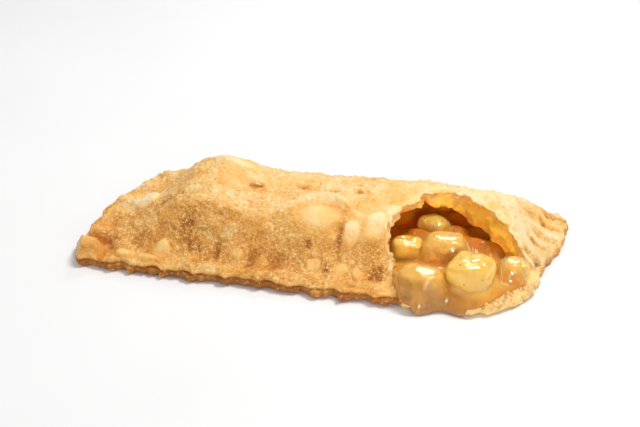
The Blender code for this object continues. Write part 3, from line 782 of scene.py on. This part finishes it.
def paintCrust(mesh):
    # Works out, for each vertex, how browned, torn or sauce-coated the crust is; the browned tone also
    # holds painted shade and painted highlights
    x, y, z = readPoints(mesh).T
    a, b = unlean(x, y)
    plain = plainTop(a, b) + crimps(a, b) + cornerNub(a, b) + blisterHeights(x, y)[0]
    depth = plain - z
    inset = edgeDistance(a, b)
    bake_and_painted_light = browning_and_painted_light["base"] + 0.11 * noise(x, y, z, 9.0, 81) + 0.15 * noise(x, y, z, 4.0, 82)
    for *oval, change in browning_and_painted_light["patches"]:
        bake_and_painted_light = bake_and_painted_light + change * bell(ovalReach(x, y, *oval), 1.0)
    # painted shade and light: darker where the surface lies below its plain height, in pits and creases,
    # and paler on the bumps above it
    bake_and_painted_light = bake_and_painted_light + 0.16 * np.clip(depth, -0.9, 0.6) * (inset > 2.0)
    bake_and_painted_light = np.clip(bake_and_painted_light, 0.0, browning_and_painted_light["most"])
    for *oval, change in browning_and_painted_light["spots"]:
        bake_and_painted_light = bake_and_painted_light + 0.7 * change * bell(ovalReach(x, y, *oval), 1.0)
    reach, along = biteReach(x, y)
    uneven = 0.5 + 0.5 * noise(x, y, z, 5.0, 83)
    # browner low on the rim, partly browning and partly painted shade along its foot, with a line of
    # painted shade in the groove between its two layers
    rim = (0.36 + 0.45 * uneven) * fallStep(1.8, 3.6, z)
    rim = rim + 0.4 * uneven * bell(z - rimLevel(x, y), 0.6)
    bitten = smoothStep(44.0, 52.0, x) * fallStep(-8.0, -2.0, y)
    bake_and_painted_light = bake_and_painted_light + rim * (1.0 - bitten) * fallStep(2.0, 3.0, inset)
    # painted shade in the dents and fork strokes
    bake_and_painted_light = bake_and_painted_light + 0.26 * np.clip(-markHeights(x, y), 0.0, 1.0)
    bake_and_painted_light = bake_and_painted_light - 0.16 * bell(reach - 1.0, 2.5) - 0.1 * (reach < 0.0)
    # painted highlight: paler along the raised ridges
    for line, width, height in marks["ridges"]:
        bake_and_painted_light = bake_and_painted_light - 0.22 * height * bell(strokeDistance(x, y, line), 1.4 * width)
    smooth = smoothShare(x, y)  # the oily patches are golden and the pads pale
    bake_and_painted_light = bake_and_painted_light + 0.18 * bell(smooth - 0.5, 0.25) - 0.14 * smoothStep(0.7, 1.0, smooth)
    glazed = smoothStep(*bite["glazed"], along) * smoothStep(4.5, 7.0, z)
    torn = fallStep(1.6, 2.6, reach) * smoothStep(0.3, 0.8, depth)
    flaky = 1.6 + 0.9 * noise(x, y, z, 2.2, 84) + 1.6 * noise(x, y, z, 6.0, 85)
    torn = torn * (0.3 + 0.35 * glazed + 0.35 * smoothStep(flaky, flaky + 1.2, depth) * glazed)
    coated = (a > hollow["left"] + 0.2) & (a < hollow["right"] + 0.2) & (z > 2.5)
    coated = coated & (b > hollow["front"]) & (b < hollow["far"])
    coated = coated * fallStep(0.3, 1.2, z - hollowHeight(a, b))
    coated = coated * smoothStep(-0.6, 0.6, reach) * smoothStep(1.6, 2.8, depth)
    # the grit value also sets how strong the painted glints are, so there are fewer on smooth patches and
    # low on the rim
    grit = (1.0 - 0.75 * smooth) * (0.5 + 0.5 * smoothStep(2.5, 5.0, z))
    for name, values in (("bake_and_painted_light", bake_and_painted_light), ("torn", torn), ("coated", coated), ("grit", grit)):
        addValues(mesh, name, values)


def makeCrust(grain):
    piece = makeCrustBody()
    cutAway(piece, makeHollow(), makeBite())
    piece.data.materials.clear()
    piece.data.materials.append(crustMaterial(grain))
    piece.data.shade_smooth()
    paintCrust(piece.data)
    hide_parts("crust")
    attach(piece, "root")
    triangles = sum(len(face.vertices) - 2 for face in piece.data.polygons)
    print("crust made,", triangles, "triangles")
    return piece


crumbs = {  # torn crumbs: zones as two ends, the spread about the line between them, and how many
    "zones": (
        ((27.0, -17.0), (34.5, -29.0), 1.6, 70), ((57.0, -26.0), (63.0, -19.0), 1.8, 70),
        ((62.0, -18.0), (70.5, -8.0), 1.6, 80),
    ),
    "sizes": (0.3, 0.85), "facets": (3, 7), "seed": 7,
}


def makeCrumbs(below, finish):
    # Squashed uneven balls, all in one mesh, dropped onto the crust along the zones and sunk in by half
    draw = np.random.default_rng(crumbs["seed"])
    unit, faces = ballGrid(*crumbs["facets"])
    places = []
    for start, end, spread, count in crumbs["zones"]:
        spots = blend(np.array(start), np.array(end), draw.uniform(0.0, 1.0, (count, 1)))
        for x, y in spots + draw.normal(0.0, spread, (count, 2)):
            found = below.ray_cast(Vector((x * mm, y * mm, 0.05)), Vector((0.0, 0.0, -1.0)))
            if found[0] and found[1].z > 0.5 * mm:
                places.append(np.array(found[1]) / mm)
    total = len(places)
    sizes = draw.uniform(*crumbs["sizes"], (total, 1, 1)) * draw.uniform(0.7, 1.2, (total, 1, 3))
    turns = draw.uniform(0.0, 2.0 * np.pi, (total, 1))
    shape = unit[None] * sizes * draw.uniform(0.75, 1.15, (total, len(unit), 1))
    points = np.array(places)[:, None] + turned(shape, turns)
    starts = len(unit) * np.arange(total)[:, None, None]
    faces = [(part[None] + starts).reshape(-1, part.shape[1]) for part in faces]
    piece = makePiece("crust_crumbs", points.reshape(-1, 3), faces, [finish])
    addValues(piece.data, "bake_and_painted_light", np.repeat(draw.uniform(0.0, 0.55, total), len(unit)))
    addValues(piece.data, "grit", 1.0)
    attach(piece, "root")
    print("crumbs made,", total)


# Fruit and sauce

fruit = {
    "chunks": (  # centre, size, turn about the vertical, and how far the sauce stands over its top
        ((29.0, -9.2, 9.4), (10.2, 8.6, 8.2), 12, -4.0),
        ((34.4, 5.4, 9.4), (10.2, 8.0, 7.8), -20, -4.0),
        ((40.4, -7.2, 10.0), (11.4, 8.6, 8.6), 8, 0.1),
        ((50.6, -18.6, 9.8), (13.2, 12.2, 10.0), -14, -5.0),
        ((62.3, -8.8, 7.6), (8.0, 7.0, 5.4), 24, 0.3),
        ((36.6, -23.6, 7.9), (12.0, 8.4, 6.4), -6, 0.6),
    ),
    "sunk": (  # pieces under the sauce, which only tint it: middle, half sizes and strength
        (57.5, -15.5, 4.0, 3.4, 0.6), (31.5, -17.0, 3.6, 3.0, 0.4), (56.0, -6.0, 4.0, 3.0, 0.35),
        (37.0, -30.0, 2.2, 2.0, 0.3),
    ),
    "tint": (0.95, 0.95, 1.1, 0.95, 1.15, 1.0),  # how far out each chunk shows through the sauce
    "facets": 11, "crispness": 5.6, "uneven": 0.26, "rings": 62, "segments": 96,
}

fruitLook = {
    "pale": (0.80, 0.54, 0.10), "deep": (0.82, 0.46, 0.052), "roughness": 0.14, "bump": 0.3,
    "surface": {
        "Coat Weight": 0.9, "Coat Roughness": 0.06, "Subsurface Weight": 0.6,
        "Subsurface Radius": (1.0, 0.75, 0.3), "Subsurface Scale": 2.0 * mm,
    },
}

sauce = {  # where it lies in the hollow, how high it stands, and its outline in front of the bite
    "left": -56.5, "right": 66.4, "farRight": -4.4, "inset": -0.2, "floor": 2.8, "under": 0.15,
    "level": 7.5, "frontLevel": 4.2, "rightDrop": 2.4,
    "edge": (
        (24.0, -18.2), (27.0, -20.6), (29.6, -26.0), (31.4, -29.2), (34.6, -31.2), (37.8, -31.4),
        (40.2, -30.0), (42.8, -27.6), (45.4, -27.4), (48.6, -28.6), (52.0, -28.4), (54.2, -27.6),
        (57.5, -23.2), (60.8, -18.6), (63.4, -15.6), (66.4, -11.6),
    ),
    "run": (33.4, 54.0, -22.5),  # it reaches the floor between these, in front of the last
    "air": (42.3, -7.6, 25.0, 30.0), "rows": 120, "pitch": 0.45,
}

sauceLook = {  # from its thin front edge to its deepest place, and over a chunk
    "thin": (0.42, 0.175, 0.02), "honey": (0.70, 0.30, 0.032), "deep": (0.66, 0.19, 0.008),
    "overFruit": (0.76, 0.42, 0.075), "spice": (0.20, 0.07, 0.01), "spiceShare": 0.45, "bump": 0.7,
    "surface": {
        "Roughness": 0.1, "Specular IOR Level": 0.25, "Coat Weight": 0.8, "Coat Roughness": 0.05,
        "Subsurface Weight": 0.5, "Subsurface Radius": (1.0, 0.6, 0.2), "Subsurface Scale": 2.0 * mm,
    },
}


def spiceGroup():
    # Ground spice: a few small dots, each at the middle of a cell chosen by its own random colour
    group = bpy.data.node_groups.new("ground spice", "ShaderNodeTree")
    group.interface.new_socket("Share", in_out="INPUT", socket_type="NodeSocketFloat")
    group.interface.new_socket("Dots", in_out="OUTPUT", socket_type="NodeSocketFloat")
    share = group.nodes.new("NodeGroupInput").outputs["Share"]
    leave = group.nodes.new("NodeGroupOutput")
    cells = addCells(group, readPlace(group), 2.6)
    near = addMath(group, "LESS_THAN", cells["Distance"], 0.11)
    chance = addNode(group, "ShaderNodeSeparateColor", {0: cells["Color"]}).outputs[0]
    picked = addMath(group, "LESS_THAN", chance, share)
    group.links.new(addProduct(group, near, picked), leave.inputs["Dots"])
    return group


def addSpice(tree, spice, colour):
    dots = addNode(tree, "ShaderNodeGroup", {"Share": sauceLook["spiceShare"]}, node_tree=spice)
    return addMix(tree, addProduct(tree, dots.outputs["Dots"], 0.8), colour, sauceLook["spice"])


def fruitMaterial(spice):
    made, tree, surface = newMaterial("cooked fruit")
    place = readPlace(tree)
    cloud = addNoise(tree, place, 3.0, 3.0)
    fibre = addNoise(tree, place, 0.8, 2.0)
    tone = addMath(tree, "ADD", addProduct(tree, cloud, 0.8), addProduct(tree, fibre, 0.2))
    colour = addRamp(tree, tone, ((0.35, fruitLook["pale"]), (0.7, fruitLook["deep"])))
    colour = addMix(tree, readValue(tree, "above"), sauceLook["overFruit"], colour)
    dull = addProduct(tree, addMath(tree, "SUBTRACT", fibre, 0.5), 0.2)
    uneven = addMath(tree, "ADD", addProduct(tree, fibre, 0.2), addNoise(tree, place, 2.2, 1.0))
    bump = {"Strength": fruitLook["bump"], "Distance": 0.9 * mm, "Height": uneven}
    finishSurface(tree, surface, {
        "Base Color": addSpice(tree, spice, colour),
        "Roughness": addMath(tree, "ADD", dull, fruitLook["roughness"]),
        "Normal": addNode(tree, "ShaderNodeBump", bump).outputs["Normal"],
    }, fruitLook["surface"])
    return made


def chunkShape(chunk, seed):
    # A rounded polyhedron: along each direction the surface lies where the high-power sum of that
    # direction's shares of the facets' distances is 1; six facets form a box, the others cut it by chance
    centre, size, turn, _ = chunk
    points, faces = ballGrid(fruit["rings"], fruit["segments"])
    cuts = np.random.default_rng(seed).normal(size=(fruit["facets"], 3))
    cuts = cuts / np.linalg.norm(cuts, axis=1, keepdims=True) / 1.1
    facets = np.concatenate((np.eye(3), -np.eye(3), cuts))
    shares = np.clip(points @ facets.T, 0.0, None)
    power = fruit["crispness"]
    shape = points / (shares ** power).sum(axis=1, keepdims=True) ** (1.0 / power)
    shape = shape * 0.5 * np.array(size)
    rough = roughNoise(*(shape + 17.0 * seed).T, 3.0, 95 + seed)
    shape = shape + points * fruit["uneven"] * rough[:, None]
    low, high = shape.min(axis=0), shape.max(axis=0)
    shape = (shape - 0.5 * (low + high)) * np.array(size) / (high - low)
    return turned(shape, math.radians(turn)) + np.array(centre), faces


def makeFruit(spice):
    finish = fruitMaterial(spice)
    for number, chunk in enumerate(fruit["chunks"], 1):
        points, faces = chunkShape(chunk, number)
        piece = makePiece(f"fruit_chunk_{number}_cooked", points, faces, [finish])
        x, y, z = points.T
        addValues(piece.data, "above", smoothStep(-0.3, 5.0, z - sauceSurface(x, y)[0]))
        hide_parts(f"fruit_chunk_{number}")
        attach(piece, "root")
    print("fruit made")


def chunkReach(x, y, chunk):  # 0 at a chunk's middle and 1 at its sides, in plan
    (cx, cy, _), (sx, sy, _), turn, _ = chunk
    angle = math.radians(turn)
    u = ((x - cx) * math.cos(angle) + (y - cy) * math.sin(angle)) / (0.5 * sx)
    v = (-(x - cx) * math.sin(angle) + (y - cy) * math.cos(angle)) / (0.5 * sy)
    return (np.abs(u) ** 3.0 + np.abs(v) ** 3.0) ** (1.0 / 3.0)


def filmHeight(x, y, chunk):  # the sauce that clings to a chunk: over all of it, or only round its foot
    (_, _, middle), (_, _, height), _, film = chunk
    reach = np.clip(chunkReach(x, y, chunk), 0.0, 4.0)
    fall = (reach / 1.26) ** 5 if film > 0.0 else reach ** 3
    return middle + 0.5 * height * (1.0 - 0.9 * fall) + film


def sauceFront(x):  # the hollow's front, then the outline's points joined and rounded off
    inside = hollow["front"] + slant(x, hollow["front"]) + sauce["inset"]
    along, edge = np.array(sauce["edge"]).T
    spilled = sum(np.interp(x + shift, along, edge) for shift in (-1.0, -0.5, 0.0, 0.5, 1.0)) / 5.0
    return blend(inside, spilled, smoothStep(along[0], along[1], x))


def sauceFar(x):
    inside = hollow["far"] + slant(x, hollow["far"]) - sauce["inset"]
    return blend(inside, sauce["farRight"], smoothStep(hollow["right"] - 1.2, hollow["right"] + 0.6, x))


def sauceSpill(x, y):
    left, right, depth = sauce["run"]
    ahead = fallStep(depth - 3.2, depth - 2.0, y)
    return ahead * smoothStep(left + 1.8, left + 3.0, x) * fallStep(right - 3.2, right - 2.0, x)


def sauceLevel(x, y):
    level = blend(sauce["frontLevel"], sauce["level"], smoothStep(-29.5, -19.0, y))
    level = level - sauce["rightDrop"] * smoothStep(50.0, sauce["right"], x)
    return level + 1.6 * smoothStep(-4.0, 3.0, y)


def sauceSurface(x, y):
    # Fills the hollow under the crust; at the bite a level with lumps, drawn up round and over the chunks
    bitten = smoothStep(26.5, 29.5, x) * fallStep(-4.0, -0.5, y)
    closed = hollowHeight(x, y - slant(x, y)) - sauce["under"] + 20.0 * bitten
    opened = fallStep(0.86, 1.0, ovalReach(x, y, *sauce["air"]))
    opened = np.maximum(opened, smoothStep(50.0, 58.0, x))
    deeper = smoothStep(-4.0, 3.0, y)  # lumpier under the lip
    level = sauceLevel(x, y) + (0.4 + 1.4 * deeper) * noise(x, y, 0.0, 6.0, 101)
    level = level + 0.3 * noise(x, y, 0.0, 2.8, 102)
    overFruit = 0.0 * x
    for chunk, tint in zip(fruit["chunks"], fruit["tint"]):
        level = softMax(level, filmHeight(x, y, chunk), 2.4)
        shown = fallStep(tint - 0.1, tint + 0.3, chunkReach(x, y, chunk))
        overFruit = np.maximum(overFruit, shown)
    for *oval, strength in fruit["sunk"]:
        shown = strength * fallStep(0.3, 1.4, ovalReach(x, y, *oval))
        overFruit = np.maximum(overFruit, shown)
    height = np.minimum(closed, blend(closed, level, opened))
    spill = sauceSpill(x, y)
    middle = sauce["floor"] + 0.7 - 2.6 * spill
    across = np.minimum(y - sauceFront(x), sauceFar(x) - y)
    side = np.minimum(across, np.minimum(x - sauce["left"], sauce["right"] - x))
    base = blend(middle, blend(sauce["floor"], 0.3, spill), roundRise(side / 1.5))
    return blend(middle, height, roundRise(side / 2.8)), base, overFruit


def sauceMaterial(spice):
    made, tree, surface = newMaterial("golden sauce")
    place = readPlace(tree)
    cloud = addMath(tree, "SUBTRACT", addNoise(tree, place, 5.0, 3.0), 0.5)
    shade = addMath(tree, "ADD", readValue(tree, "depth"), addProduct(tree, cloud, 0.8), clamp=True)
    shades = ((0.0, sauceLook["thin"]), (0.5, sauceLook["honey"]), (1.0, sauceLook["deep"]))
    over = readValue(tree, "overFruit")
    colour = addMix(tree, over, addRamp(tree, shade, shades), sauceLook["overFruit"])
    ripple = addNoise(tree, place, 2.4, 1.5)
    bump = {"Strength": sauceLook["bump"], "Distance": 1.2 * mm, "Height": ripple}
    finishSurface(tree, surface, {
        "Base Color": addSpice(tree, spice, colour),
        "Normal": addNode(tree, "ShaderNodeBump", bump).outputs["Normal"],
    }, sauceLook["surface"])
    return made


def makeSauce(spice):
    # Two sheets over the sauce's own plan, sharing its outline
    fine = np.linspace(20.0, sauce["right"], round((sauce["right"] - 20.0) / sauce["pitch"]))
    columns = np.concatenate((np.linspace(sauce["left"], 18.0, 30), fine))
    even = np.linspace(0.0, 1.0, sauce["rows"])
    x, share = np.meshgrid(columns, 0.6 * even + 0.4 * (0.5 - 0.5 * np.cos(np.pi * even)))
    y = sauceFront(x) + (sauceFar(x) - sauceFront(x)) * share
    height, base, overFruit = sauceSurface(x, y)
    sheets = [np.stack((x, y, z), axis=-1) for z in (height, base)]
    piece = makePillow("filling_sauce", *sheets, [sauceMaterial(spice)])
    depth = 0.1 + 0.4 * smoothStep(-28.0, -21.0, y) + 0.5 * smoothStep(-6.0, 3.0, y)
    depth = depth + 0.3 * fallStep(18.0, 28.0, x)
    for name, table in (("overFruit", overFruit), ("depth", depth)):
        addValues(piece.data, name, np.concatenate((table.ravel(), table[1:-1, 1:-1].ravel())))
    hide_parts("filling")
    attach(piece, "root")
    print("sauce made,", 2 * len(piece.data.polygons), "triangles")


# Floor, light and camera

view = {
    "azimuth": 16.0, "elevation": 30.0, "distance": 0.48, "lens": 85.0,
    "target": (-0.0027, 0.0059, 0.008),
}

light = {  # each lamp's place, size, power, spread in degrees and aim
    "lamps": (
        ("key", (0.18, 0.12, 0.54), 0.17, 2.2, 180.0, (0.0, 0.0, 0.01)),
        ("fill", (-0.38, -0.12, 0.42), 0.6, 0.7, 180.0, (0.0, 0.0, 0.01)),
        ("front", (0.25, -0.44, 0.18), 0.16, 0.40, 180.0, (0.0, 0.0, 0.01)),
        ("bite", (0.20, -0.42, 0.14), 0.06, 0.0042, 11.0, (0.040, 0.0, 0.010)),
        ("back", (0.0, 0.40, 0.33), 0.11, 0.34, 180.0, (0.045, -0.01, 0.01)),
    ),
    "air": 0.38,
}


def makeStage():
    corners = np.array(((-3, -3, 0), (3, -3, 0), (3, 3, 0), (-3, 3, 0))) / mm
    floor = makePiece("floor", corners, [np.array([[0, 1, 2, 3]])])
    made, tree, surface = newMaterial("pale floor")
    cloud = addNoise(tree, readPlace(tree), 60.0)
    tone = addRamp(tree, cloud, ((0.3, (0.86, 0.86, 0.86)), (0.7, (0.88, 0.88, 0.88))))
    finishSurface(tree, surface, {"Base Color": tone}, {"Roughness": 0.7})
    floor.data.materials.append(made)


def makeLights():
    for name, place, size, power, spread, aim in light["lamps"]:
        lamp = bpy.data.lights.new(name, "AREA")
        lamp.energy = power
        lamp.size = size
        lamp.spread = math.radians(spread)
        made = addObject(name, lamp)
        made.location = place
        made.rotation_euler = facing(Vector(place) - Vector(aim))
    world = bpy.data.worlds.new("studio")
    world.use_nodes = True
    air = world.node_tree.nodes["Background"].inputs
    air["Color"].default_value = (1.0, 1.0, 1.0, 1.0)
    air["Strength"].default_value = light["air"]
    bpy.context.scene.world = world
    bpy.context.scene.view_settings.view_transform = "Standard"


def makeCamera():
    turn, rise = math.radians(view["azimuth"]), math.radians(view["elevation"])
    back = Vector((math.sin(turn) * math.cos(rise), -math.cos(turn) * math.cos(rise), math.sin(rise)))
    camera = bpy.data.cameras.new("camera")
    camera.lens = view["lens"]
    camera.clip_start = 0.01
    made = addObject("camera", camera)
    made.location = Vector(view["target"]) + back * view["distance"]
    made.rotation_euler = facing(back)
    bpy.context.scene.camera = made


makeCamera()
makeLights()
makeStage()
grain = grainGroup()
spice = spiceGroup()
baked = makeCrust(grain)
makeCrumbs(baked, baked.data.materials[0])
makeFruit(spice)
makeSauce(spice)
